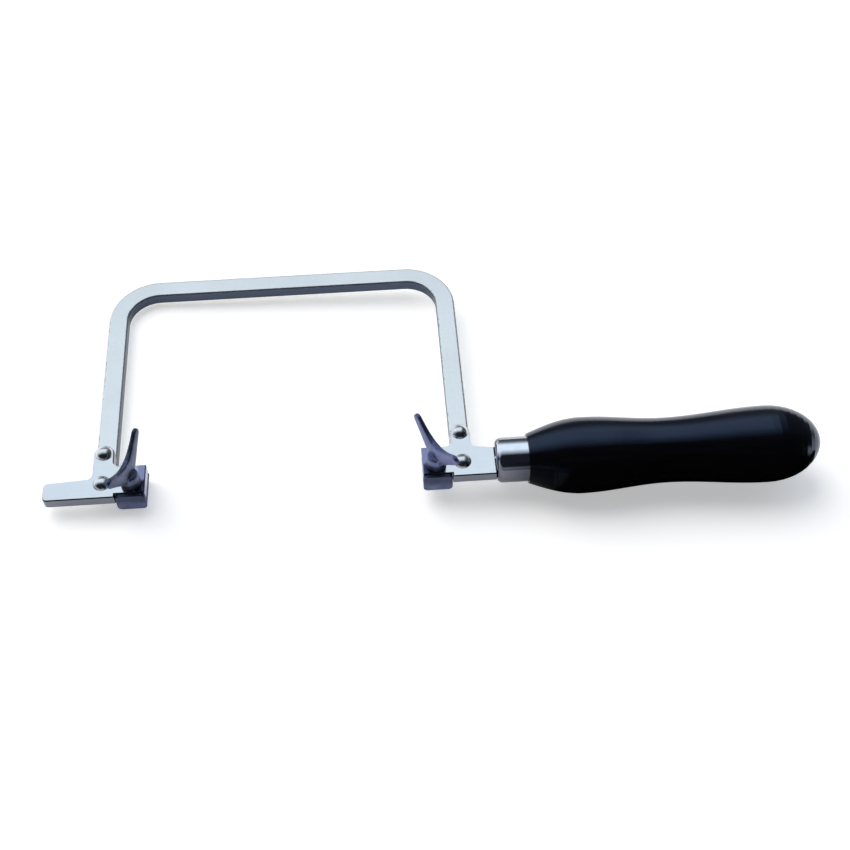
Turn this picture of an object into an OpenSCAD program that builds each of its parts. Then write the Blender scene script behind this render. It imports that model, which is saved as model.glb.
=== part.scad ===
// Fixed-frame fret saw: a flat-bar bow, a riveted bracket with a blade clamp at
// each end, and a turned handle behind a cup ferrule. It lies on its side: +X
// runs from the nose to the butt of the handle, +Y from the blade towards the
// back of the bow, and +Z is up, the side that the wing screws stand on.
// Every shape is drawn with the handle's axis on the X axis and the tip of the
// nose at zero. laid() then moves it to the middle of the underside of its box.

/* [Bow] */
// Width of the flat bar, in the plane of the bow
bar_w = 8.3; // [6:0.1:10]
// Thickness of the flat bar
bar_t = 5.5; // [4:0.1:7]
// Radius on the bar's long edges
bar_edge_r = 0.9; // [0.3:0.1:1.5]
// Clear distance between the two arms
bow_span = 138.8; // [120:1:170]
// Distance from the handle's axis to the inner edge of the back
throat_depth = 104; // [80:1:150]
// Outer radius of the two bends
bend_r = 22; // [16:1:32]
// Corner radius of the arms' ends
arm_end_r = 2.5; // [1:0.1:3]

/* [Brackets] */
// Thickness of both brackets
bracket_t = 5; // [4:0.1:7]
// Bevel on the brackets' edges
bevel = 0.4; // [0.2:0.1:0.8]
// Length of a jaw along the blade
jaw_l = 12; // [10:0.1:16]
// Width of a clamped jaw across the blade
jaw_w = 15.2; // [13:0.1:18]
// Distance from the handle's axis to the brackets' front edge, on the lips' side
jaw_drop = 8.1; // [7.5:0.1:9]
// Distance from the front arm to its jaw
front_jaw_set = 1.4; // [0.5:0.1:4]
// Distance from the rear arm to its jaw
rear_jaw_set = 0.4; // [0.3:0.1:4]
// Length of the nose in front of the front arm
nose_l = 19.5; // [10:0.5:30]
// Width of the nose bar at the arm
nose_w = 9.6; // [7:0.1:11]
// How much narrower the nose is at its tip
nose_taper = 0.9; // [0:0.1:2]
// Corner radius of the nose's tip
nose_r = 2; // [1:0.1:3]
// Length of the neck between the rear arm and the ferrule
neck_l = 9.4; // [6:0.1:16]
// Height of the neck's upper edge over the handle's axis, at the rear arm
neck_rise = 6.5; // [4:0.1:7]
// How much lower the neck's upper edge lies at the ferrule
neck_taper = 1.2; // [0:0.1:2]
// Radius of the webs in the inner corners
web_r = 2.6; // [1:0.1:4]
// How much thinner the tang is than its bracket
tang_ease = 0.2; // [0.1:0.1:1]
// Length of the tang inside the handle
tang_l = 70; // [40:1:90]

/* [Rivets] */
// Diameter of the rivets' shanks
rivet_d = 3.6; // [3:0.1:4.5]
// Diameter of the round heads
rivet_head_d = 7.2; // [6:0.1:8]
// Height of the round heads
rivet_head_h = 2.4; // [1.5:0.1:3]
// Diameter of the countersunk tails
rivet_tail_d = 4.8; // [4.4:0.1:5.6]
// Distance between the two rivets of an arm
rivet_pitch = 14.8; // [12:0.1:20]
// Distance from the end of an arm to its first rivet
rivet_inset = 2.9; // [2.8:0.1:5]
// Distance from the handle's axis to the arms' ends
arm_drop = 4; // [3.5:0.1:6]

/* [Blade clamps] */
// Thickness of the movable plates
clamp_t = 4.2; // [3.5:0.1:6]
// Thickness of a plate's turned-up lip
lip_t = 1.4; // [1:0.1:2]
// How far a lip stays below the bracket's face
lip_drop = 0.5; // [0.2:0.1:1]
// Corner radius of the plates
clamp_r = 1.9; // [0.8:0.1:2]
// Distance from a jaw's free end to its screw
screw_inset = 5.6; // [5:0.1:7]
// Distance from the handle's axis to the screws, towards the lips
screw_drop = 1.9; // [0:0.1:2.5]
// Blade thickness that the closed clamps hold
blade_t = 0.3; // [0.2:0.05:0.6]
// Nominal diameter of the screws' thread
thread_d = 5; // [4:0.5:6]
// Diameter of a hub at its seat
hub_d = 8.4; // [7:0.1:10]
// Diameter of a hub at its top
hub_top_d = 7.8; // [6:0.1:9]
// Height of a hub
hub_h = 7; // [5:0.1:9]
// Distance over both wings
wing_span = 29.4; // [24:0.1:34]
// Height of the wings above the seat
wing_h = 20; // [16:0.1:22]
// Thickness of a wing near its tip
wing_t = 2.3; // [1.6:0.1:3]
// Radius of a wing's rounded tip
wing_tip_r = 2.2; // [1.8:0.1:3]
// Direction of the front screw's first wing
front_turn = 70.5; // [0:0.5:180]
// Direction of the rear screw's first wing
rear_turn = 121; // [0:0.5:180]

/* [Ferrule] */
// Outer diameter of the ferrule
ferrule_d = 18.8; // [16:0.1:22]
// Length of the ferrule
ferrule_l = 13.3; // [10:0.1:18]
// Wall of the ferrule
ferrule_wall = 0.9; // [0.6:0.1:1.2]
// Radius of the ferrule's rounded shoulder
ferrule_r = 2.8; // [1.5:0.1:3.5]

/* [Handle] */
// Length of the handle behind the ferrule
grip_l = 122; // [90:1:140]
// Diameter of the handle's shoulder at the ferrule
shoulder_d = 20.6; // [19:0.1:23]
// Diameter of the front swell
front_swell_d = 31.6; // [26:0.1:34]
// Diameter of the waist
waist_d = 27; // [22:0.1:30]
// Diameter of the rear swell
rear_swell_d = 32; // [28:0.1:36]
// Place of the front swell, as a share of the grip's length
front_swell_share = 0.184; // [0.15:0.005:0.25]
// Place of the waist, as a share of the grip's length
waist_share = 0.47; // [0.4:0.005:0.55]
// Place of the rear swell, as a share of the grip's length
rear_swell_share = 0.815; // [0.75:0.005:0.88]

/* [Hidden] */
$fn = 64;

// Clearances and the overrun of every cut
seat_gap = 0.1;
lip_gap = 0.2;
rivet_gap = 0.03;
thread_gap = 0.05;
shank_gap = 0.25;
tang_gap = 0.03;
ferrule_gap = 0.05;
over = 1;

// Places along the saw
front_arm_x = nose_l;
front_arm_in = front_arm_x + bar_w;
rear_arm_in = front_arm_in + bow_span;
rear_arm_out = rear_arm_in + bar_w;
front_jaw_x = front_arm_in + front_jaw_set;
rear_jaw_x = rear_arm_in - rear_jaw_set - jaw_l;
front_screw_x = front_jaw_x + jaw_l - screw_inset;
rear_screw_x = rear_jaw_x + screw_inset;
ferrule_x = rear_arm_out + neck_l;
grip_x = ferrule_x + ferrule_l;
saw_l = grip_x + grip_l;

// Heights, with the brackets halfway up the handle and the bow below them
face_z = bracket_t / 2;
tang_d = bracket_t - tang_ease;
clamp_z = -face_z - blade_t - clamp_t;
bow_z = -face_z - bar_t;
arm_end_y = -arm_drop;
lower_rivet_y = arm_end_y + rivet_inset;
upper_rivet_y = lower_rivet_y + rivet_pitch;
edge_y = -jaw_drop;
jaw_y = edge_y + lip_t + lip_gap;
back_y = throat_depth + bar_w;
bend_in_r = bend_r - bar_w;
tang_end = ferrule_x + ferrule_l + tang_l;

// Dome of a rivet's head, cut from this sphere
dome_r = (rivet_head_d * rivet_head_d / 4 + rivet_head_h * rivet_head_h) / (2 * rivet_head_h);

// Form of the wings. The root's radius, reach and rise over the hub are shares of
// the hub's top. The middle draws in by a share of the tip's radius, and the root's
// swell and the eased edges are shares of the wing's thickness.
wing_root_share = 0.64;
wing_reach_share = 0.25;
wing_rise_share = 0.3;
wing_neck_share = 0.3;
wing_swell_share = 0.45;
wing_ease_share = 0.2;
wing_sweep = 1.25;
wing_steps = 3;

// Length of a screw's pointed end as a share of its thread, and how wide the
// tang's blunt tip is as a share of the tang
screw_point_share = 0.16;
tang_tip_share = 0.35;

// Stretches of the handle's outline and the number of steps in each
spigot_d = ferrule_d - 2 * ferrule_wall - 2 * ferrule_gap;
front_swell_x = grip_x + front_swell_share * grip_l;
waist_x = grip_x + waist_share * grip_l;
rear_swell_x = grip_x + rear_swell_share * grip_l;
outline_steps = 12;

// Moves the saw so that its box stands centred on the origin
module laid() {
    translate([-saw_l / 2, -(back_y - rear_swell_d / 2) / 2, rear_swell_d / 2]) children();
}

// Section of the flat bar with its four rolled edges, in the first quadrant
module bar_section(w) {
    translate([bar_edge_r, 0]) square([w - 2 * bar_edge_r, bar_t]);
    translate([0, bar_edge_r]) square([w, bar_t - 2 * bar_edge_r]);
    for (x = [bar_edge_r, w - bar_edge_r], y = [bar_edge_r, bar_t - bar_edge_r])
        translate([x, y]) circle(r = bar_edge_r, $fn = 32);
}

// Rectangle with four round corners, from its lower left corner
module round_square(w, h, r) {
    translate([r, 0]) square([w - 2 * r, h]);
    translate([0, r]) square([w, h - 2 * r]);
    for (x = [r, w - r], y = [r, h - r])
        translate([x, y]) circle(r = r);
}

// One arm of the bow, from its rounded end up to the bend
module arm(x) {
    reach = back_y - bend_r - arm_end_y;
    translate([x, arm_end_y, bow_z])
        intersection() {
            translate([0, reach, 0]) rotate([90, 0, 0]) linear_extrude(reach) bar_section(bar_w);
            linear_extrude(bar_t) round_square(bar_w, reach + bend_r, arm_end_r);
        }
}

// One bend of the bow, a quarter turn from start degrees
module bend(x, start) {
    translate([x, back_y - bend_r, bow_z])
        rotate([0, 0, start])
            rotate_extrude(angle = 90, $fn = 96)
                translate([bend_in_r, 0]) bar_section(bar_w);
}

// Hole for a rivet through an arm and its bracket, countersunk below
module rivet_hole(x, y) {
    sink = (rivet_tail_d - rivet_d) / 2;
    translate([x, y, bow_z - over])
        cylinder(d = rivet_d + 2 * rivet_gap, h = bar_t + bracket_t + 2 * over);
    translate([x, y, bow_z])
        cylinder(d1 = rivet_tail_d + 2 * rivet_gap, d2 = rivet_d + 2 * rivet_gap, h = sink);
}

module rivet_holes(arm_x) {
    for (y = [lower_rivet_y, upper_rivet_y]) rivet_hole(arm_x + bar_w / 2, y);
}

module bow() {
    color("#d3e1e8") laid() difference() {
        union() {
            arm(front_arm_x);
            arm(rear_arm_in);
            bend(front_arm_x + bend_r, 90);
            bend(rear_arm_out - bend_r, 0);
            translate([front_arm_x + bend_r, throat_depth, bow_z])
                rotate([90, 0, 90])
                    linear_extrude(rear_arm_out - front_arm_x - 2 * bend_r) bar_section(bar_w);
        }
        rivet_holes(front_arm_x);
        rivet_holes(rear_arm_in);
    }
}

// Double cone that rolls along an edge and leaves a bevel above and below
module bevel_cone() {
    cylinder(r1 = bevel, r2 = 0, h = bevel, $fn = 16);
    mirror([0, 0, 1]) cylinder(r1 = bevel, r2 = 0, h = bevel, $fn = 16);
}

// Plate of the brackets' thickness over any outline, bevelled all round
module bevelled_plate() {
    minkowski() {
        translate([0, 0, bevel - face_z])
            linear_extrude(bracket_t - 2 * bevel) offset(delta = -bevel) children();
        bevel_cone();
    }
}

// Outline with its inner corners filled by round webs
module webbed() {
    offset(r = -web_r, $fn = 48) offset(delta = web_r) children();
}

// Tab that lies on an arm and carries its rivets, round at its upper end
module tab_outline(arm_x) {
    translate([arm_x, edge_y]) square([bar_w, upper_rivet_y - edge_y]);
    translate([arm_x + bar_w / 2, upper_rivet_y]) circle(d = bar_w, $fn = 48);
}

// Room beside a jaw for the lip of its clamp plate
module lip_notch(jaw_x) {
    translate([jaw_x - lip_gap, edge_y - over])
        square([jaw_l + 2 * lip_gap, jaw_y - edge_y + over]);
}

// Clearance hole for a clamp screw through a jaw
module screw_hole(screw_x) {
    translate([screw_x, -screw_drop, -face_z - over])
        cylinder(d = thread_d + 2 * shank_gap, h = bracket_t + 2 * over);
}

// Nose bar, which narrows to a tip with two round corners
module nose_outline() {
    top_y = edge_y + nose_w;
    tip_y = top_y - nose_taper;
    translate([nose_r, edge_y + nose_r]) circle(r = nose_r, $fn = 32);
    translate([nose_r, tip_y - nose_r]) circle(r = nose_r, $fn = 32);
    polygon([
        [nose_r, edge_y], [front_arm_in, edge_y], [front_arm_in, top_y],
        [front_arm_x, top_y], [nose_r, tip_y]
    ]);
    translate([0, edge_y + nose_r]) square([2 * nose_r, nose_w - nose_taper - 2 * nose_r]);
}

// Jaw and shoulder in front, from the arm to the free end at the throat
module front_bracket() {
    color("#d3e1e8") laid() difference() {
        bevelled_plate() difference() {
            webbed() {
                nose_outline();
                tab_outline(front_arm_x);
                translate([front_arm_x, edge_y])
                    square([front_jaw_x + jaw_l - front_arm_x, jaw_w]);
            }
            lip_notch(front_jaw_x);
        }
        screw_hole(front_screw_x);
        rivet_holes(front_arm_x);
    }
}

// Jaw, neck and tang behind: the tang runs through the ferrule into the handle
module rear_bracket() {
    tang_tip = tang_d / 2;
    color("#d3e1e8") laid() difference() {
        union() {
            bevelled_plate() difference() {
                webbed() {
                    translate([rear_jaw_x, edge_y]) square([rear_arm_out - rear_jaw_x, jaw_w]);
                    tab_outline(rear_arm_in);
                    polygon([
                        [rear_arm_in, edge_y], [ferrule_x, edge_y],
                        [ferrule_x, neck_rise - neck_taper], [rear_arm_out, neck_rise],
                        [rear_arm_in, neck_rise]
                    ]);
                }
                lip_notch(rear_jaw_x);
            }
            translate([ferrule_x - over, 0, 0]) rotate([0, 90, 0])
                cylinder(d = tang_d, h = tang_end - tang_tip - ferrule_x + over);
            translate([tang_end - tang_tip, 0, 0]) rotate([0, 90, 0])
                cylinder(d1 = tang_d, d2 = tang_d * tang_tip_share, h = tang_tip);
        }
        screw_hole(rear_screw_x);
        rivet_holes(rear_arm_in);
    }
}

// Rivet with a round head on the bracket and a flush countersunk tail
module rivet(arm_x, y) {
    sink = (rivet_tail_d - rivet_d) / 2;
    color("#dfe8ee") laid() translate([arm_x + bar_w / 2, y, 0]) {
        translate([0, 0, bow_z]) cylinder(d1 = rivet_tail_d, d2 = rivet_d, h = sink);
        translate([0, 0, bow_z]) cylinder(d = rivet_d, h = bar_t + bracket_t);
        intersection() {
            translate([0, 0, face_z + rivet_head_h - dome_r]) sphere(r = dome_r);
            translate([0, 0, face_z]) cylinder(d = 2 * dome_r, h = rivet_head_h + over);
        }
    }
}

// Upright slab of a clamp plate, drawn along Y, with its corners rounded
module clamp_slab(jaw_x, width, height) {
    translate([jaw_x, edge_y + width, clamp_z])
        rotate([90, 0, 0]) linear_extrude(width) round_square(jaw_l, height, clamp_r);
}

// Movable plate under a jaw, with a lip that keeps it from turning
module clamp_plate(jaw_x, screw_x) {
    color("#6c6f92") laid() difference() {
        union() {
            clamp_slab(jaw_x, jaw_w, clamp_t);
            clamp_slab(jaw_x, lip_t, face_z - lip_drop - clamp_z);
        }
        translate([screw_x, -screw_drop, clamp_z - over])
            cylinder(d = thread_d + 2 * thread_gap, h = clamp_t + 2 * over);
    }
}

// Disc that sweeps out a wing, flat to its thickness t, with eased edges
module wing_disc(reach, z, r, t) {
    ease = t * wing_ease_share;
    for (in = [0, ease])
        translate([reach, t / 2 - ease + in, z])
            rotate([90, 0, 0]) cylinder(r = r - in, h = t - 2 * ease + 2 * in, $fn = 32);
}

// Place and size of a wing's disc at a share s of the way from root to tip
module wing_disc_at(s) {
    root_r = hub_top_d * wing_root_share;
    root_z = hub_h + hub_top_d * wing_rise_share;
    root_reach = hub_top_d * wing_reach_share;
    reach = root_reach + s * (wing_span / 2 - wing_tip_r - root_reach);
    z = root_z + pow(s, wing_sweep) * (wing_h - wing_tip_r - root_z);
    r = root_r + s * (wing_tip_r - root_r) - wing_tip_r * wing_neck_share * sin(180 * s);
    wing_disc(reach, z, r, wing_t * (1 + (1 - s) * wing_swell_share));
}

// One wing, which leans out from the hub and sweeps up to its round tip
module wing() {
    for (i = [0:wing_steps - 1])
        hull() {
            wing_disc_at(i / wing_steps);
            wing_disc_at((i + 1) / wing_steps);
        }
}

// Wing screw: a coned hub on the jaw, two wings and the threaded shank
module wing_screw(screw_x, turn) {
    tip_cone = thread_d * screw_point_share;
    color("#8083a6") laid() translate([screw_x, -screw_drop, 0]) rotate([0, 0, turn]) {
        translate([0, 0, face_z + seat_gap]) {
            cylinder(d1 = hub_d, d2 = hub_top_d, h = hub_h);
            for (side = [0, 180]) rotate([0, 0, side]) wing();
        }
        translate([0, 0, clamp_z + tip_cone])
            cylinder(d = thread_d, h = face_z + seat_gap + hub_h / 2 - clamp_z - tip_cone);
        translate([0, 0, clamp_z])
            cylinder(d1 = thread_d - 2 * tip_cone, d2 = thread_d, h = tip_cone);
    }
}

// Cup that caps the handle's spigot, round at its closed end
module ferrule() {
    r = ferrule_d / 2;
    color("#dfe3ea") laid() translate([ferrule_x, 0, 0]) rotate([0, 90, 0]) difference() {
        rotate_extrude($fn = 96) {
            translate([0, ferrule_r]) square([r, ferrule_l - ferrule_r]);
            square([r - ferrule_r, ferrule_l]);
            translate([r - ferrule_r, ferrule_r]) circle(r = ferrule_r);
        }
        translate([0, 0, ferrule_wall])
            rotate_extrude($fn = 96) {
                translate([0, ferrule_r - ferrule_wall])
                    square([r - ferrule_wall, ferrule_l - ferrule_r + over]);
                square([r - ferrule_r, ferrule_l]);
                translate([r - ferrule_r, ferrule_r - ferrule_wall])
                    circle(r = ferrule_r - ferrule_wall);
            }
        translate([0, 0, -over]) cylinder(d = tang_d + 2 * tang_gap, h = ferrule_wall + 2 * over);
    }
}

// Radius between two sizes: rise is a share from 0 to 1
function between(d1, d2, rise) = (d1 + (d2 - d1) * rise) / 2;

// Stretches of the outline: a quarter wave out of the shoulder, half waves
// between the swells and the waist, and a quarter ellipse round the butt
function shoulder_points() = [for (i = [0:outline_steps - 1])
    let (s = i / outline_steps)
    [grip_x + s * (front_swell_x - grip_x), between(shoulder_d, front_swell_d, sin(90 * s))]];
function wave_points(x1, x2, d1, d2) = [for (i = [0:outline_steps - 1])
    let (s = i / outline_steps)
    [x1 + s * (x2 - x1), between(d1, d2, (1 - cos(180 * s)) / 2)]];
function butt_points() = [for (i = [0:outline_steps])
    let (a = 90 * i / outline_steps)
    [rear_swell_x + (saw_l - rear_swell_x) * sin(a), rear_swell_d / 2 * cos(a)]];

// Turned handle with its spigot inside the ferrule and its bore for the tang
module handle() {
    spigot_x = ferrule_x + ferrule_wall + ferrule_gap;
    outline = concat(
        shoulder_points(),
        wave_points(front_swell_x, waist_x, front_swell_d, waist_d),
        wave_points(waist_x, rear_swell_x, waist_d, rear_swell_d),
        butt_points());
    color("#0b0b0e") laid() rotate([0, 90, 0]) difference() {
        union() {
            rotate_extrude($fn = 96)
                polygon(concat([[0, grip_x]], [for (p = outline) [p[1], p[0]]]));
            translate([0, 0, spigot_x + ferrule_r])
                cylinder(d = spigot_d, h = grip_x - spigot_x - ferrule_r + over);
            translate([0, 0, spigot_x])
                cylinder(d1 = spigot_d - 2 * ferrule_r, d2 = spigot_d, h = ferrule_r);
        }
        translate([0, 0, spigot_x - over])
            cylinder(d = tang_d + 2 * tang_gap, h = tang_end - spigot_x + 2 * over);
    }
}

bow();
front_bracket();
rear_bracket();
rivet(front_arm_x, upper_rivet_y);  // front_upper_rivet
rivet(front_arm_x, lower_rivet_y);  // front_lower_rivet
rivet(rear_arm_in, upper_rivet_y);  // rear_upper_rivet
rivet(rear_arm_in, lower_rivet_y);  // rear_lower_rivet
clamp_plate(front_jaw_x, front_screw_x);  // front_clamp_plate
clamp_plate(rear_jaw_x, rear_screw_x);  // rear_clamp_plate
wing_screw(front_screw_x, front_turn);  // front_wing_screw
wing_screw(rear_screw_x, rear_turn);  // rear_wing_screw
ferrule();
handle();
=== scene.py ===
import math

import bmesh
import bpy
from mathutils import Matrix, Vector


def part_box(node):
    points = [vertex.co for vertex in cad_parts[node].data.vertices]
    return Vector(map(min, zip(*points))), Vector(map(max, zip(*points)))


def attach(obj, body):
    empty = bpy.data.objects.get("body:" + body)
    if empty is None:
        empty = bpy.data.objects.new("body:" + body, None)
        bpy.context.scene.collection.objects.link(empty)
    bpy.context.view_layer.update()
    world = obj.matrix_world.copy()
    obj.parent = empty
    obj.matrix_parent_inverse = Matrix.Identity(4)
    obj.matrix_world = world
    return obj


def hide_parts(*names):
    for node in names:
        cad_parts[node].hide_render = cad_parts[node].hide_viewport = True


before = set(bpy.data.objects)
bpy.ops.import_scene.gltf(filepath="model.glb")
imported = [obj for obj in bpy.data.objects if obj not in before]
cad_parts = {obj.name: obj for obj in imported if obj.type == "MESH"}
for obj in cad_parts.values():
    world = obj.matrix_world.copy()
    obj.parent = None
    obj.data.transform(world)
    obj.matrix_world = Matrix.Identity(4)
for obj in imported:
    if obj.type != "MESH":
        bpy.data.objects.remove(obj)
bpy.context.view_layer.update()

MM = 0.001
ENDS = ("front", "rear")
WHITE = (1.0, 1.0, 1.0, 1.0)
ALL_WAYS = (1.0, 1.0, 1.0)
NOISE_ROUGHNESS = 0.55

# The saw lies in the row frame, in metres. These are the places that the scene needs from it.
handle_low, handle_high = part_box("handle")
bow_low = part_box("bow")[0]
AXIS_Y = (handle_low.y + handle_high.y) / 2
AXIS_Z = (handle_low.z + handle_high.z) / 2
NOSE_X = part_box("front_bracket")[0].x


def saw(x, y, z):
    """A point given in millimetres from the nose's tip and the handle's axis, in the row frame."""
    return Vector((NOSE_X + x * MM, AXIS_Y + y * MM, AXIS_Z + z * MM))


def link_object(name, data):
    """A new object at the origin, in the scene's collection."""
    made = bpy.data.objects.new(name, data)
    bpy.context.scene.collection.objects.link(made)
    return made


# Colours and shader building blocks

def linear(r, g, b):
    """A screen colour from 0 to 255 as the linear colour that shaders take."""
    def one(v):
        v /= 255
        return v / 12.92 if v <= 0.04045 else ((v + 0.055) / 1.055) ** 2.4
    return (one(r), one(g), one(b), 1.0)


def darker(colour, share):
    """The colour with its red, green and blue brought down to a share."""
    return [c * share for c in colour[:3]] + [1.0]


def feed(tree, socket, value):
    """Links the value to the socket if it is a socket itself, and else sets it there."""
    if hasattr(value, "is_linked"):
        tree.links.new(value, socket)
    else:
        socket.default_value = value


def node(tree, kind, inputs=None, **settings):
    """A new node with its settings made and its named inputs fed."""
    made = tree.nodes.new(kind)
    for name, value in settings.items():
        setattr(made, name, value)
    for name, value in (inputs or {}).items():
        feed(tree, made.inputs[name], value)
    return made


def new_material(name):
    """An empty material with one shader, given back with its tree."""
    mat = bpy.data.materials.new(name)
    mat.use_nodes = True
    tree = mat.node_tree
    tree.nodes.clear()
    bsdf = node(tree, "ShaderNodeBsdfPrincipled")
    node(tree, "ShaderNodeOutputMaterial", {"Surface": bsdf.outputs[0]})
    return mat, tree, bsdf


def axes(tree, vector):
    """The X, Y and Z outputs of a vector."""
    return node(tree, "ShaderNodeSeparateXYZ", {"Vector": vector}).outputs


def noise(tree, place, size, detail=3.0, stretch=ALL_WAYS):
    """Noise whose blotches are about size metres across, drawn out along an axis by stretch."""
    mapping = node(tree, "ShaderNodeMapping", {"Vector": place, "Scale": stretch})
    made = node(tree, "ShaderNodeTexNoise", {
        "Vector": mapping.outputs[0], "Scale": 1 / size, "Detail": detail,
        "Roughness": NOISE_ROUGHNESS})
    return made.outputs["Fac"]


def spread(tree, value, low, high, to_low=0.0, to_high=1.0):
    """The value mapped from low..high to to_low..to_high, and held there."""
    made = node(tree, "ShaderNodeMapRange", {
        "Value": value, "From Min": low, "From Max": high, "To Min": to_low, "To Max": to_high},
        clamp=True)
    return made.outputs["Result"]


def mixed(tree, share, first, second):
    """A mix of two colours, from the first at share 0 to the second at share 1."""
    made = node(tree, "ShaderNodeMix", data_type="RGBA")
    feed(tree, made.inputs["Factor"], share)
    for name, value in (("A", first), ("B", second)):
        feed(tree, [s for s in made.inputs if s.name == name and s.type == "RGBA"][0], value)
    return [s for s in made.outputs if s.type == "RGBA"][0]


def maths(tree, operation, first, second):
    """One sum of two numbers or sockets."""
    made = node(tree, "ShaderNodeMath", operation=operation)
    for socket, value in zip(made.inputs, (first, second)):
        feed(tree, socket, value)
    return made.outputs[0]


def bumps(tree, bsdf, *layers):
    """Chains bump layers, each (height socket, depth in metres), into the shader's normal."""
    last = None
    for height, depth in layers:
        made = node(tree, "ShaderNodeBump", {"Distance": depth, "Strength": 1.0, "Height": height})
        if last is not None:
            feed(tree, made.inputs["Normal"], last)
        last = made.outputs[0]
    feed(tree, bsdf.inputs["Normal"], last)


def facing_shares(tree, normal):
    """Two masks: faces that look up or down, and the bevels and rolled edges between them."""
    flat_from, edge_from, edge_to = (0.45, 0.85), (0.25, 0.5), (0.9, 0.98)
    facing = maths(tree, "ABSOLUTE", axes(tree, normal)["Z"], 0.0)
    flat = spread(tree, facing, *flat_from)
    rising = spread(tree, facing, *edge_from)
    falling = spread(tree, facing, *edge_to, 1.0, 0.0)
    return flat, maths(tree, "MULTIPLY", rising, falling)


# Finishes. Each lies on the piece's own object coordinates, in metres. A band is the part of a
# noise's range, or of a normal's, over which it takes its effect.
CLOUD_BAND, WIDE_BAND = (0.35, 0.65), (0.3, 0.7)
GROUND_ALONG = (0.15, 1.0, 1.0)
TURNED_ROUND = (1.0, 0.02, 0.02)
WOOD_GRAIN = (0.06, 1.0, 1.0)
JAW_END_VIOLET = linear(128, 131, 163)
BARE_NICKEL = (0.36, 0.35, 0.34, 1.0)
BARE_STEEL = (0.3, 0.3, 0.36, 1.0)


def metal(tree, bsdf, colour, rough):
    """Makes the shader a metal of that colour and roughness."""
    for name, value in (("Base Color", colour), ("Metallic", 1.0), ("Roughness", rough)):
        feed(tree, bsdf.inputs[name], value)


def plated_bar(name, face, side, grain=ALL_WAYS, rough=0.3, wear=0.7, violet_end=None):
    """Satin nickel over a ground flat face; its narrow sides are painted darker as a painted dark
    reflection. grain draws the grinding out.

    The last argument gives (clean, full): places along X between which the colour turns violet-grey."""
    cloud_size, grinding_size, scuff_size = 26 * MM, 0.9 * MM, 2.4 * MM
    cloud_shade, groove_shade, groove_share = 0.94, 0.8, 0.16
    ragged, violet_share = 0.4 * MM, 0.92
    gloss_band, shinier, duller = (0.25, 0.75), 0.05, 0.07
    worn_band, worn_duller = (0.52, 0.62), 0.15
    groove_depth, scuff_depth = 0.004 * MM, 0.006 * MM

    mat, tree, bsdf = new_material(name)
    coords = node(tree, "ShaderNodeTexCoord").outputs
    place = coords["Object"]
    cloud = noise(tree, place, cloud_size)
    grinding = noise(tree, place, grinding_size, detail=4.0, stretch=grain)
    scuffs = noise(tree, place, scuff_size, detail=5.0)
    flat, edges = facing_shares(tree, coords["Normal"])

    tone = mixed(tree, spread(tree, cloud, *CLOUD_BAND), darker(face, cloud_shade), face)
    grooves = spread(tree, grinding, *WIDE_BAND, 0.0, groove_share)
    tone = mixed(tree, grooves, tone, darker(face, groove_shade))
    # Painted reflection: faces that look neither up nor down take the darker side colour.
    colour = mixed(tree, flat, side, tone)
    worn = maths(tree, "MULTIPLY", edges, spread(tree, scuffs, *worn_band, 0.0, wear))
    colour = mixed(tree, worn, colour, BARE_NICKEL)
    if violet_end:
        clean, full = violet_end
        along = maths(tree, "ADD", axes(tree, place)["X"],
                      spread(tree, scuffs, *WIDE_BAND, -ragged, ragged))
        colour = mixed(tree, spread(tree, along, clean, full, 0.0, violet_share), colour, JAW_END_VIOLET)

    gloss = spread(tree, grinding, *gloss_band, rough - shinier, rough + duller)
    gloss = maths(tree, "ADD", gloss, maths(tree, "MULTIPLY", worn, worn_duller))
    metal(tree, bsdf, colour, gloss)
    bumps(tree, bsdf, (grinding, groove_depth), (scuffs, scuff_depth))
    return mat


def violet_steel(name, tone, dark, rough, shade_heights, depth):
    """Violet-tinted plated steel, cast and lightly tumbled, worn bare where fingers turn it.

    Between the two heights given, in metres, painted shade darkens the tint by the share depth."""
    cloud_size, cast_size, scuff_size = 5 * MM, 0.9 * MM, 1.7 * MM
    worn_band, worn_share = (0.52, 0.66), 0.45
    deep_shade, duller, cast_depth = 0.2, 0.13, 0.01 * MM

    mat, tree, bsdf = new_material(name)
    coords = node(tree, "ShaderNodeTexCoord").outputs
    place = coords["Object"]
    cloud = noise(tree, place, cloud_size)
    cast = noise(tree, place, cast_size, detail=4.0)
    scuffs = noise(tree, place, scuff_size, detail=5.0)
    edges = facing_shares(tree, coords["Normal"])[1]

    colour = mixed(tree, spread(tree, cloud, *CLOUD_BAND), dark, tone)
    # Painted shade and dark reflection: between the given heights the tint darkens towards the dark
    # tone.
    painted_shade = spread(tree, axes(tree, place)["Z"], *shade_heights, 0.0, depth)
    colour = mixed(tree, painted_shade, colour, darker(dark, deep_shade))
    worn = maths(tree, "MULTIPLY", edges, spread(tree, scuffs, *worn_band, 0.0, worn_share))
    colour = mixed(tree, worn, colour, BARE_STEEL)

    metal(tree, bsdf, colour, spread(tree, cast, *WIDE_BAND, rough, rough + duller))
    bumps(tree, bsdf, (cast, cast_depth), (scuffs, cast_depth))
    return mat


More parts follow.
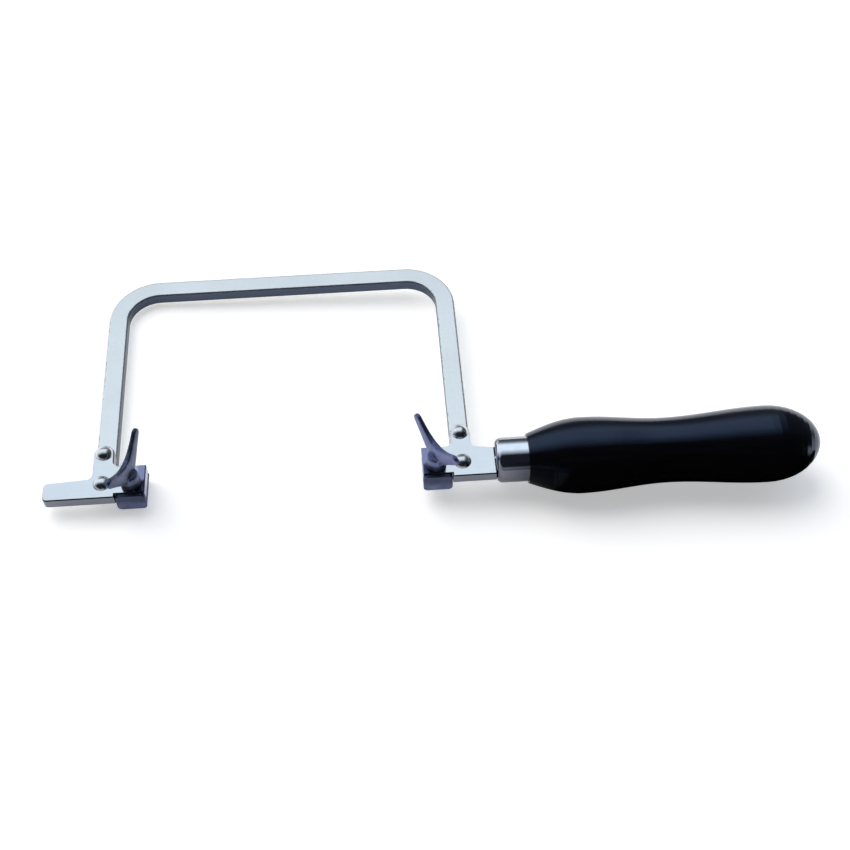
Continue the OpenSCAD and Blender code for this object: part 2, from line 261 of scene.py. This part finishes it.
def bright_cup(name, tone, dull):
    """Bright plated cup with faint turning marks round it, painted darker below and behind as a
    painted reflection.
    """
    turning_size, cloud_size = 0.6 * MM, 7 * MM
    under_band, back_reflection_band, back_reflection_share = (0.5, 0.64), (0.1, 0.4), 0.62
    cloud_shade, shiniest, dullest = 0.9, 0.06, 0.13
    turning_depth = 0.008 * MM

    mat, tree, bsdf = new_material(name)
    coords = node(tree, "ShaderNodeTexCoord").outputs
    turning = noise(tree, coords["Object"], turning_size, detail=2.0, stretch=TURNED_ROUND)
    cloud = noise(tree, coords["Object"], cloud_size)
    facing = axes(tree, coords["Normal"])
    under = spread(tree, facing["Z"], *under_band, 1.0, 0.0)
    behind = spread(tree, facing["Y"], *back_reflection_band, 0.0, back_reflection_share)
    colour = mixed(tree, spread(tree, cloud, *CLOUD_BAND), darker(tone, cloud_shade), tone)
    # Painted reflection: faces that look down or back take the dark tone.
    colour = mixed(tree, maths(tree, "MAXIMUM", under, behind), colour, dull)

    metal(tree, bsdf, colour, spread(tree, turning, *WIDE_BAND, shiniest, dullest))
    bumps(tree, bsdf, (turning, turning_depth))
    return mat


def black_lacquer(name):
    """Black gloss lacquer on turned wood: the grain and the turning show through a little.

    Below the front shoulder, where fingers hold the handle, the gloss is rubbed dull."""
    grain_size, peel_size, handling_size = 1.6 * MM, 2.2 * MM, 18 * MM
    black, brown = (0.0018, 0.0018, 0.0022, 1.0), (0.004, 0.0035, 0.0038, 1.0)
    grain_band, handling_band, shiniest, dullest = (0.4, 0.7), (0.35, 0.7), 0.13, 0.21
    shoulder_band, under_band = (-0.3, -0.1), (0.5, 0.66)
    glossy, rubbed, blue_gloss = 0.68, 0.04, (0.44, 0.62, 1.0, 1.0)
    grain_depth, peel_depth = 0.02 * MM, 0.015 * MM

    mat, tree, bsdf = new_material(name)
    coords = node(tree, "ShaderNodeTexCoord").outputs
    grain = noise(tree, coords["Object"], grain_size, detail=5.0, stretch=WOOD_GRAIN)
    orange_peel = noise(tree, coords["Object"], peel_size, detail=2.0)
    handling = noise(tree, coords["Object"], handling_size, detail=4.0)
    facing = axes(tree, coords["Normal"])
    shoulder = spread(tree, facing["X"], *shoulder_band, 1.0, 0.0)
    under = spread(tree, facing["Z"], *under_band, 1.0, 0.0)
    held = maths(tree, "MULTIPLY", shoulder, under)
    for socket, value in (
            ("Base Color", mixed(tree, spread(tree, grain, *grain_band), black, brown)),
            ("Roughness", spread(tree, handling, *handling_band, shiniest, dullest)),
            ("Specular IOR Level", spread(tree, held, 0.0, 1.0, glossy, rubbed)),
            ("Specular Tint", blue_gloss)):
        feed(tree, bsdf.inputs[socket], value)
    bumps(tree, bsdf, (grain, grain_depth), (orange_peel, peel_depth))
    return mat


def matt(name, tone, rough):
    """A flat matt material with no shine, given back with its tree and shader."""
    mat, tree, bsdf = new_material(name)
    for socket, value in (("Base Color", (tone, tone, tone, 1.0)), ("Roughness", rough),
                          ("Specular IOR Level", 0.0)):
        feed(tree, bsdf.inputs[socket], value)
    return mat, tree, bsdf


# Tones of the flat faces, and the darker tones of the narrow sides, which are a painted reflection.
BOW_FACE, BOW_SIDE_PAINTED_REFLECTION = (0.94, 0.94, 0.885, 1.0), (0.068, 0.085, 0.125, 1.0)
BRACKET_FACE, BRACKET_SIDE_PAINTED_REFLECTION = (0.83, 0.84, 0.82, 1.0), (0.17, 0.185, 0.22, 1.0)
RIVET_FACE, RIVET_SIDE_PAINTED_REFLECTION = (0.88, 0.88, 0.86, 1.0), (0.6, 0.62, 0.62, 1.0)
# The ferrule's second tone is a painted reflection, put on its lower and back faces.
FERRULE_TONE, FERRULE_PAINTED_REFLECTION = linear(246, 248, 252), (0.15, 0.155, 0.19, 1.0)
CLAMP_TONE, CLAMP_DARK = linear(108, 116, 146), linear(86, 95, 126)
# Both screws are of one steel: the rear's lighter tones and the front's darker ones are painted light
# and shade.
WING_LIT_AND_SHADED_TONES = {"front": (linear(97, 105, 131), linear(80, 89, 112)),
              "rear": (linear(116, 122, 160), linear(96, 104, 142))}

# The violet-grey starts at the first distance from a jaw's free end and is full at the second.
VIOLET_REACH = (5.8 * MM, 2.6 * MM)
jaw_ends = {"front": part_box("front_bracket")[1].x, "rear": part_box("rear_bracket")[0].x}
inwards = {"front": -1, "rear": 1}

# Heights between which painted shade darkens the violet tint, up over the clamp plates and down the
# hubs.
plate_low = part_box("front_clamp_plate")[0].z
plate_shade_heights = (plate_low + 2 * MM, plate_low + 6 * MM)
jaw_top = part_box("front_bracket")[1].z
hub_shade_heights = (jaw_top + 4.6 * MM, jaw_top + 3.2 * MM)

rivet_finish = plated_bar("rivet nickel", RIVET_FACE, RIVET_SIDE_PAINTED_REFLECTION, rough=0.2, wear=0.12)
clamp_finish = violet_steel("clamp plate steel", CLAMP_TONE, CLAMP_DARK,
                            rough=0.5, shade_heights=plate_shade_heights, depth=0.6)
finishes = {
    "bow": plated_bar("bow nickel", BOW_FACE, BOW_SIDE_PAINTED_REFLECTION),
    "ferrule": bright_cup("ferrule plate", FERRULE_TONE, FERRULE_PAINTED_REFLECTION),
    "handle": black_lacquer("handle lacquer"),
}
for which in ENDS:
    violet_end = [jaw_ends[which] + inwards[which] * reach for reach in VIOLET_REACH]
    finishes[which + "_bracket"] = plated_bar(
        which + " bracket nickel", BRACKET_FACE, BRACKET_SIDE_PAINTED_REFLECTION, GROUND_ALONG, rough=0.11, violet_end=violet_end)
    finishes[which + "_upper_rivet"] = rivet_finish
    finishes[which + "_lower_rivet"] = rivet_finish
    finishes[which + "_clamp_plate"] = clamp_finish
    finishes[which + "_wing_screw"] = violet_steel(
        which + " wing screw steel", *WING_LIT_AND_SHADED_TONES[which], rough=0.38, shade_heights=hub_shade_heights, depth=0.95)

for name, finish in finishes.items():
    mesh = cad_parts[name].data
    if not mesh.materials:
        mesh.materials.append(finish)
    for i in range(len(mesh.materials)):
        mesh.materials[i] = finish

# Wing screws: forged heads with soft transitions, on shanks with a cut thread. All sizes are in
# millimetres. A head's are from its seat and the screw's own axis. SEAT_Z is the seat's height
# over the handle's axis, just clear of the jaw, and SHANK_INSIDE is how far the shank stands in
# the hub. TURNS are the screws' angles in degrees, as in the part's source.
SEAT_Z = 2.6
SHANK_INSIDE = 1.0
TURNS = {"front": 70.5, "rear": 121.0}

# The hub's profile is (radius, height). AXIS_R closes it round the axis.
HUB = [(0.0, 0.0), (3.7, 0.0), (4.15, 0.35), (4.2, 1.0), (4.05, 4.0), (3.9, 6.2), (3.4, 6.9),
       (0.0, 7.1)]
HUB_STEPS = 48
AXIS_R = 0.05

# A wing's reach, rise and radius are given at its root and at its tip. NECK draws its middle in,
# SWEEP bends its rise, and ROOT_SWELL thickens its root by a share.
WING_REACH, WING_RISE, WING_RADIUS = (1.95, 12.5), (9.35, 17.8), (4.95, 2.15)
WING_NECK, WING_SWEEP = 0.6, 1.25
WING_THICKNESS, ROOT_SWELL = 2.25, 0.45
WING_SECTIONS, WING_SIDES = 14, 28
TIP_ANGLES = (0.4, 0.75, 1.05, 1.3, 1.5)
EDGE_ROUNDING, FACE_ROUNDING, TIP_THINNING = 0.8, 0.45, 0.35
LEAST_SWEPT_SHARE = 0.02

# The metal between the roots, in rows of half width, half thickness and height.
ROOT_WEB = [(3.4, 1.45, 6.2), (2.3, 1.45, 9.6), (1.1, 1.15, 13.45)]

# The skin that runs hub, wings and web together, and how it is eased.
SKIN_VOXEL, EASE_FACTOR, EASE_ROUNDS = 0.24, 0.5, 10
SHARP_ANGLE = math.radians(40)

# The thread's named inputs. A ridge reaches over RIDGE_SHARE of the pitch each way, and the
# shank's blunt point has POINT_SHARE of the root's radius.
THREAD_INPUTS = (("Root Radius", "Float", 2.12), ("Crest Radius", "Float", 2.5),
                 ("Pitch", "Float", 0.8), ("Turns", "Float", 8.0), ("Length", "Float", 12.0),
                 ("Point", "Float", 0.8), ("Steps a Turn", "Int", 40))
RIDGE_SIDES, RIDGE_SHARE = 4, 0.42
CORE_SIDES, POINT_SHARE = 48, 0.75


def between(pair, share):
    """The value a share of the way from the first of a pair to the second."""
    return pair[0] + share * (pair[1] - pair[0])


def ring_faces(bm, rings):
    """Quads between neighbouring closed rings of vertices, and a face over each end."""
    for near, far in zip(rings, rings[1:]):
        for i in range(len(near)):
            j = (i + 1) % len(near)
            bm.faces.new((near[i], near[j], far[j], far[i]))
    bm.faces.new(list(reversed(rings[0])))
    bm.faces.new(rings[-1])


def hub_rings(bm):
    """The hub, turned from its profile."""
    rings = []
    for radius, height in HUB:
        radius = max(radius, AXIS_R)
        angles = [math.tau * i / HUB_STEPS for i in range(HUB_STEPS)]
        rings.append([bm.verts.new((radius * math.cos(a), radius * math.sin(a), height))
                      for a in angles])
    ring_faces(bm, rings)


def web_rings(bm):
    """The metal between the wings' roots."""
    corners = ((-1, -1), (1, -1), (1, 1), (-1, 1))
    ring_faces(bm, [[bm.verts.new((x * wide, y * thick, height)) for x, y in corners]
                    for wide, thick, height in ROOT_WEB])


def wing_section(s):
    """Reach, height, half height and half thickness of a wing a share s along its sweep."""
    tall = between(WING_RADIUS, s) - WING_NECK * math.sin(math.pi * s)
    thick = WING_THICKNESS / 2 * (1 + (1 - s) * ROOT_SWELL)
    return between(WING_REACH, s), between(WING_RISE, s ** WING_SWEEP), tall, thick


def rounded(value, power):
    """A sine or cosine made squarer, with its sign kept."""
    return math.copysign(abs(value) ** power, value)


def wing_rings(bm, side):
    """One wing, lofted along its sweep and rounded off at its tip.

    A station is (share of the sweep, distance ahead of it in half heights, share of full size)."""
    stations = [(i / WING_SECTIONS, 0.0, 1.0) for i in range(WING_SECTIONS + 1)]
    stations += [(1.0, math.sin(a), math.cos(a)) for a in TIP_ANGLES]
    rings = []
    for s, ahead, shrink in stations:
        reach, rise, tall, thick = wing_section(s)
        slope = WING_SWEEP * max(s, LEAST_SWEPT_SHARE) ** (WING_SWEEP - 1)
        along = Vector((WING_REACH[1] - WING_REACH[0], 0, slope * (WING_RISE[1] - WING_RISE[0])))
        along.normalize()
        across = Vector((-along.z, 0, along.x))
        middle = Vector((reach, 0, rise)) + along * ahead * tall
        ring = []
        for i in range(WING_SIDES):
            a = math.tau * i / WING_SIDES
            up = rounded(math.sin(a), EDGE_ROUNDING) * tall * shrink
            out = rounded(math.cos(a), FACE_ROUNDING) * thick * shrink ** TIP_THINNING
            point = middle + across * up
            ring.append(bm.verts.new((side * point.x, side * out, point.z)))
        rings.append(ring)
    ring_faces(bm, rings)


def evaluated(obj):
    """The object's mesh with its modifiers applied."""
    graph = bpy.context.evaluated_depsgraph_get()
    return bpy.data.meshes.new_from_object(obj.evaluated_get(graph))


def forged_head():
    """Hub and wings run together into one smooth skin."""
    bm = bmesh.new()
    hub_rings(bm)
    web_rings(bm)
    wing_rings(bm, 1)
    wing_rings(bm, -1)
    bmesh.ops.recalc_face_normals(bm, faces=bm.faces)
    mesh = bpy.data.meshes.new("rough head")
    bm.to_mesh(mesh)
    bm.free()
    rough = link_object("rough head", mesh)
    skin = rough.modifiers.new("skin", "REMESH")
    skin.mode = "VOXEL"
    skin.voxel_size = SKIN_VOXEL
    ease = rough.modifiers.new("ease", "SMOOTH")
    ease.factor = EASE_FACTOR
    ease.iterations = EASE_ROUNDS
    done = evaluated(rough)
    bpy.data.objects.remove(rough)
    return done


def moved(tree, geometry, **change):
    """The geometry with a Translation or Scale."""
    inputs = {"Geometry": geometry}
    for name, parts in change.items():
        inputs[name] = node(tree, "ShaderNodeCombineXYZ", parts).outputs[0]
    return node(tree, "GeometryNodeTransform", inputs).outputs[0]


def thread_ridge(tree, given):
    """The thread: a flat diamond swept along a helix, standing clear of the point."""
    helix = node(tree, "GeometryNodeCurveSpiral", {
        "Resolution": given["Steps a Turn"], "Rotations": given["Turns"],
        "Start Radius": given["Root Radius"], "End Radius": given["Root Radius"],
        "Height": maths(tree, "MULTIPLY", given["Pitch"], given["Turns"])})
    upright = node(tree, "GeometryNodeSetCurveNormal", {"Curve": helix.outputs["Curve"]},
                   mode="Z_UP")
    ridge = node(tree, "GeometryNodeCurvePrimitiveCircle", {
        "Resolution": RIDGE_SIDES, "Radius": 1.0})
    shaped = moved(tree, ridge.outputs["Curve"], Scale={
        "X": maths(tree, "SUBTRACT", given["Crest Radius"], given["Root Radius"]),
        "Y": maths(tree, "MULTIPLY", given["Pitch"], RIDGE_SHARE), "Z": 1.0})
    swept = node(tree, "GeometryNodeCurveToMesh", {
        "Curve": upright.outputs["Curve"], "Profile Curve": shaped, "Fill Caps": True})
    return moved(tree, swept.outputs["Mesh"], Translation={"Z": given["Point"]})


def shank_core(tree, given):
    """The plain core over the point, and the blunt point itself."""
    plain_length = maths(tree, "SUBTRACT", given["Length"], given["Point"])
    core = node(tree, "GeometryNodeMeshCylinder", {
        "Vertices": CORE_SIDES, "Radius": given["Root Radius"], "Depth": plain_length})
    half_way = maths(tree, "MULTIPLY", plain_length, 0.5)
    raised = moved(tree, core.outputs["Mesh"],
                   Translation={"Z": maths(tree, "ADD", given["Point"], half_way)})
    point = node(tree, "GeometryNodeMeshCone", {
        "Vertices": CORE_SIDES,
        "Radius Bottom": maths(tree, "MULTIPLY", given["Root Radius"], POINT_SHARE),
        "Radius Top": given["Root Radius"], "Depth": given["Point"]})
    return raised, point.outputs["Mesh"]


def thread_tree():
    """Node group that cuts a shank: a plain core, its pointed end and the thread round it."""
    tree = bpy.data.node_groups.new("cut thread", "GeometryNodeTree")
    tree.interface.new_socket("Geometry", in_out="INPUT", socket_type="NodeSocketGeometry")
    for label, kind, value in THREAD_INPUTS:
        socket = tree.interface.new_socket(label, in_out="INPUT", socket_type="NodeSocket" + kind)
        socket.default_value = value
    tree.interface.new_socket("Finish", in_out="INPUT", socket_type="NodeSocketMaterial")
    tree.interface.new_socket("Geometry", in_out="OUTPUT", socket_type="NodeSocketGeometry")
    given = node(tree, "NodeGroupInput").outputs

    joined = node(tree, "GeometryNodeJoinGeometry")
    for part in (thread_ridge(tree, given), *shank_core(tree, given)):
        feed(tree, joined.inputs[0], part)
    real = node(tree, "GeometryNodeRealizeInstances", {"Geometry": joined.outputs[0]})
    finish = node(tree, "GeometryNodeSetMaterial", {
        "Geometry": real.outputs[0], "Material": given["Finish"]})
    node(tree, "NodeGroupOutput", {"Geometry": finish.outputs[0]})
    return tree


def threaded_shank(tree, length, finish):
    """The shank's mesh, standing on its pointed end."""
    carrier = link_object("shank", bpy.data.meshes.new("shank"))
    cut = carrier.modifiers.new("thread", "NODES")
    cut.node_group = tree
    sockets = {i.name: i.identifier for i in tree.interface.items_tree
               if i.item_type == "SOCKET" and i.in_out == "INPUT"}
    cut[sockets["Length"]] = length
    cut[sockets["Finish"]] = finish
    done = evaluated(carrier)
    bpy.data.objects.remove(carrier)
    return done


def wing_screw(which, head, tree):
    """Head and shank of one screw in a single mesh, in the row frame."""
    low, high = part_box(which + "_wing_screw")
    axis = (low + high) / 2
    end = (low.z - AXIS_Z) / MM
    finish = finishes[which + "_wing_screw"]
    shank = threaded_shank(tree, SEAT_Z - end + SHANK_INSIDE, finish)
    turn = Matrix.Rotation(math.radians(TURNS[which]), 4, "Z")
    bm = bmesh.new()
    for mesh, height in ((head, SEAT_Z), (shank, end)):
        copy = mesh.copy()
        copy.transform(Matrix.Translation((axis.x, axis.y, AXIS_Z + height * MM)) @ turn
                       @ Matrix.Diagonal((MM, MM, MM, 1)))
        bm.from_mesh(copy)
    bmesh.ops.recalc_face_normals(bm, faces=bm.faces)
    whole = bpy.data.meshes.new(which + "_forged_screw")
    bm.to_mesh(whole)
    bm.free()
    whole.materials.clear()
    whole.materials.append(finish)
    for polygon in whole.polygons:
        polygon.material_index = 0
        polygon.use_smooth = True
    whole.set_sharp_from_angle(angle=SHARP_ANGLE)
    piece = link_object(which + "_forged_screw", whole)
    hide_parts(which + "_wing_screw")
    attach(piece, which + "_screw")


head_mesh = forged_head()
cutting = thread_tree()
for which in ENDS:
    wing_screw(which, head_mesh, cutting)

# Floor: a pale sheet that the saw rests on with its front arm and one swell of its handle. The
# steepest line from the arm's foot to the handle's skin gives its tilt. HANDLE_FOOT is that
# swell's place along the saw in millimetres.
HANDLE_FOOT = 273
FLOOR_HALF, FLOOR_GAP = 3.0, 0.1 * MM
FLOOR_TONE, FLOOR_ROUGH, FLOOR_GLOW = 0.8, 0.9, 0.45

# A low black card lies and stands on the floor in front of the handle. Its rows are given from
# the handle's axis in millimetres and its other places from the handle's foot in metres. Over
# CARD_FADE it grows solid from its left end, so that the ferrule's lower band stays light.
CARD_MIDDLE, CARD_HALF, CARD_FADE = 12 * MM, 97 * MM, 20 * MM
CARD_NEAR, CARD_FAR = -5, -34
CARD_LEAN, CARD_TOP, CARD_FOOT = 12 * MM, 52 * MM, 0.6 * MM
CARD_TONE, CARD_ROUGH = 0.004, 0.95


def floor_sheet():
    """The floor, white to the camera and in reflections, with the saw's shadow on it."""
    arm_x, arm_z = bow_low.x, bow_low.z
    foot_x = saw(HANDLE_FOOT, 0, 0).x
    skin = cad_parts["handle"].data.vertices
    steepest = max((arm_z - v.co.z) / (v.co.x - arm_x) for v in skin)
    foot_z = arm_z - steepest * (foot_x - arm_x)

    mat, tree, bsdf = matt("floor paper", FLOOR_TONE, FLOOR_ROUGH)
    ray = node(tree, "ShaderNodeLightPath").outputs
    seen = maths(tree, "ADD", ray["Is Camera Ray"], ray["Is Glossy Ray"])
    seen = maths(tree, "ADD", seen, ray["Is Transmission Ray"])
    glow = maths(tree, "MULTIPLY", maths(tree, "MINIMUM", seen, 1.0), FLOOR_GLOW)
    feed(tree, bsdf.inputs["Emission Color"], WHITE)
    feed(tree, bsdf.inputs["Emission Strength"], glow)

    mesh = bpy.data.meshes.new("floor")
    corners = [(x * FLOOR_HALF, y * FLOOR_HALF, 0) for x, y in ((-1, -1), (1, -1), (1, 1), (-1, 1))]
    mesh.from_pydata(corners, [], [(0, 1, 2, 3)])
    mesh.materials.append(mat)
    floor = link_object("floor", mesh)
    floor.matrix_world = (Matrix.Translation((foot_x, 0, foot_z - FLOOR_GAP))
                          @ Matrix.Rotation(math.atan(steepest), 4, "Y"))
    return floor


def black_card(floor):
    """The card. Only reflections meet it: it keeps the pale floor out of the lacquer's lower half."""
    mat, tree, bsdf = matt("card black", CARD_TONE, CARD_ROUGH)
    left_end = CARD_MIDDLE - CARD_HALF
    along = axes(tree, node(tree, "ShaderNodeTexCoord").outputs["Object"])["X"]
    feed(tree, bsdf.inputs["Alpha"], spread(tree, along, left_end, left_end + CARD_FADE))

    fold_y = saw(0, CARD_FAR, 0).y
    rows = [(saw(0, CARD_NEAR, 0).y, 0.0), (fold_y, 0.0), (fold_y - CARD_LEAN, CARD_TOP)]
    mesh = bpy.data.meshes.new("black card")
    mesh.from_pydata([(CARD_MIDDLE + side * CARD_HALF, y, CARD_FOOT + z)
                      for y, z in rows for side in (-1, 1)], [], [(0, 1, 3, 2), (2, 3, 5, 4)])
    mesh.materials.append(mat)
    card = link_object("black card", mesh)
    card.matrix_world = floor.matrix_world
    card.visible_camera = False
    card.visible_diffuse = False
    card.visible_shadow = False


black_card(floor_sheet())

# World: a broad soft light above and behind the saw, a dim glow low down in front and at the
# sides, and darkness behind the camera. The limits are parts of a direction's unit vector, and Y
# points away from the camera. END_X is where the light ends on the right in reflections, so that
# the handle's round end stays black.
RISING_Y, FALLING_Y = (-0.2, 0.3), (0.72, 0.93)
DARKEST, HORIZON_LEVEL = 0.006, 0.14
GLOW_Z, GLOW_Y, GLOW_LEVEL = (0.1, 0.32), (0.35, 0.75), 0.5
END_X, END_SHARE = (0.3, 0.55), 0.92
STUDIO_DARK, STUDIO_LIGHT = (0.005, 0.006, 0.01, 1), (0.80, 0.92, 1.08, 1)
STUDIO_STRENGTH = 0.98


def studio_world():
    """The lit surroundings, and plain white for the camera."""
    world = bpy.data.worlds.new("studio")
    bpy.context.scene.world = world
    world.use_nodes = True
    tree = world.node_tree
    tree.nodes.clear()
    ray = node(tree, "ShaderNodeLightPath").outputs
    way = axes(tree, node(tree, "ShaderNodeTexCoord").outputs["Generated"])

    rising = spread(tree, way["Y"], *RISING_Y, DARKEST, 1.0)
    falling = spread(tree, way["Y"], *FALLING_Y, 1.0, HORIZON_LEVEL)
    glow = maths(tree, "MULTIPLY", spread(tree, way["Z"], *GLOW_Z, GLOW_LEVEL, 0.0),
                 spread(tree, way["Y"], *GLOW_Y, 1.0, 0.0))
    bright = maths(tree, "MAXIMUM", maths(tree, "MINIMUM", rising, falling), glow)
    ended = maths(tree, "MULTIPLY", ray["Is Glossy Ray"],
                  spread(tree, way["X"], *END_X, 0.0, END_SHARE))
    bright = maths(tree, "MULTIPLY", bright, maths(tree, "SUBTRACT", 1.0, ended))

    lit = node(tree, "ShaderNodeBackground", {
        "Color": mixed(tree, bright, STUDIO_DARK, STUDIO_LIGHT), "Strength": STUDIO_STRENGTH})
    white = node(tree, "ShaderNodeBackground", {"Color": WHITE})
    either = node(tree, "ShaderNodeMixShader")
    mix = (ray["Is Camera Ray"], lit.outputs[0], white.outputs[0])
    for socket, value in zip(either.inputs, mix):
        feed(tree, socket, value)
    node(tree, "ShaderNodeOutputWorld", {"Surface": either.outputs[0]})


studio_world()

# One wide soft light from behind on the left, high up, which draws the shadows to the right and
# towards the camera.
LIGHT_FROM = Vector((-0.46, 0.5, 1.0))
LIGHT_ENERGY, LIGHT_COLOUR, LIGHT_ANGLE = 1.78, (1.0, 0.92, 0.835), math.radians(48)

light = bpy.data.lights.new("softbox", "SUN")
light.energy = LIGHT_ENERGY
light.color = LIGHT_COLOUR
light.angle = LIGHT_ANGLE
softbox = link_object("softbox", light)
softbox.rotation_euler = LIGHT_FROM.to_track_quat("Z", "Y").to_euler()
softbox.visible_glossy = False

# Camera, at the photograph's place: angles and distance were fitted to the saw's corners. The lens
# is given by the photograph's focal length and width in pixels. AIM is the point it looks at.
ELEVATION, TURN, ROLL = math.radians(53.84), math.radians(-3.52), math.radians(-0.63)
DISTANCE = 0.556
FOCAL_PIXELS, PHOTO_PIXELS, SENSOR = 1322, 850, 36.0
AIM = saw(156.78, 20.20, 0)
CLIP_START = 0.01

away = Vector((math.sin(TURN) * math.cos(ELEVATION), -math.cos(TURN) * math.cos(ELEVATION),
               math.sin(ELEVATION)))
right = Vector((math.cos(TURN), math.sin(TURN), 0))
up = right.cross(-away)
rolled = math.cos(ROLL) * right + math.sin(ROLL) * up
over = -math.sin(ROLL) * right + math.cos(ROLL) * up
place = AIM + away * DISTANCE
camera_data = bpy.data.cameras.new("camera")
camera_data.lens = FOCAL_PIXELS / PHOTO_PIXELS * SENSOR
camera_data.sensor_width = SENSOR
camera_data.sensor_fit = "HORIZONTAL"
camera_data.clip_start = CLIP_START
camera = link_object("camera", camera_data)
camera.matrix_world = Matrix((
    (rolled.x, over.x, away.x, place.x),
    (rolled.y, over.y, away.y, place.y),
    (rolled.z, over.z, away.z, place.z),
    (0, 0, 0, 1)))
bpy.context.scene.camera = camera
bpy.context.scene.view_settings.view_transform = "Standard"
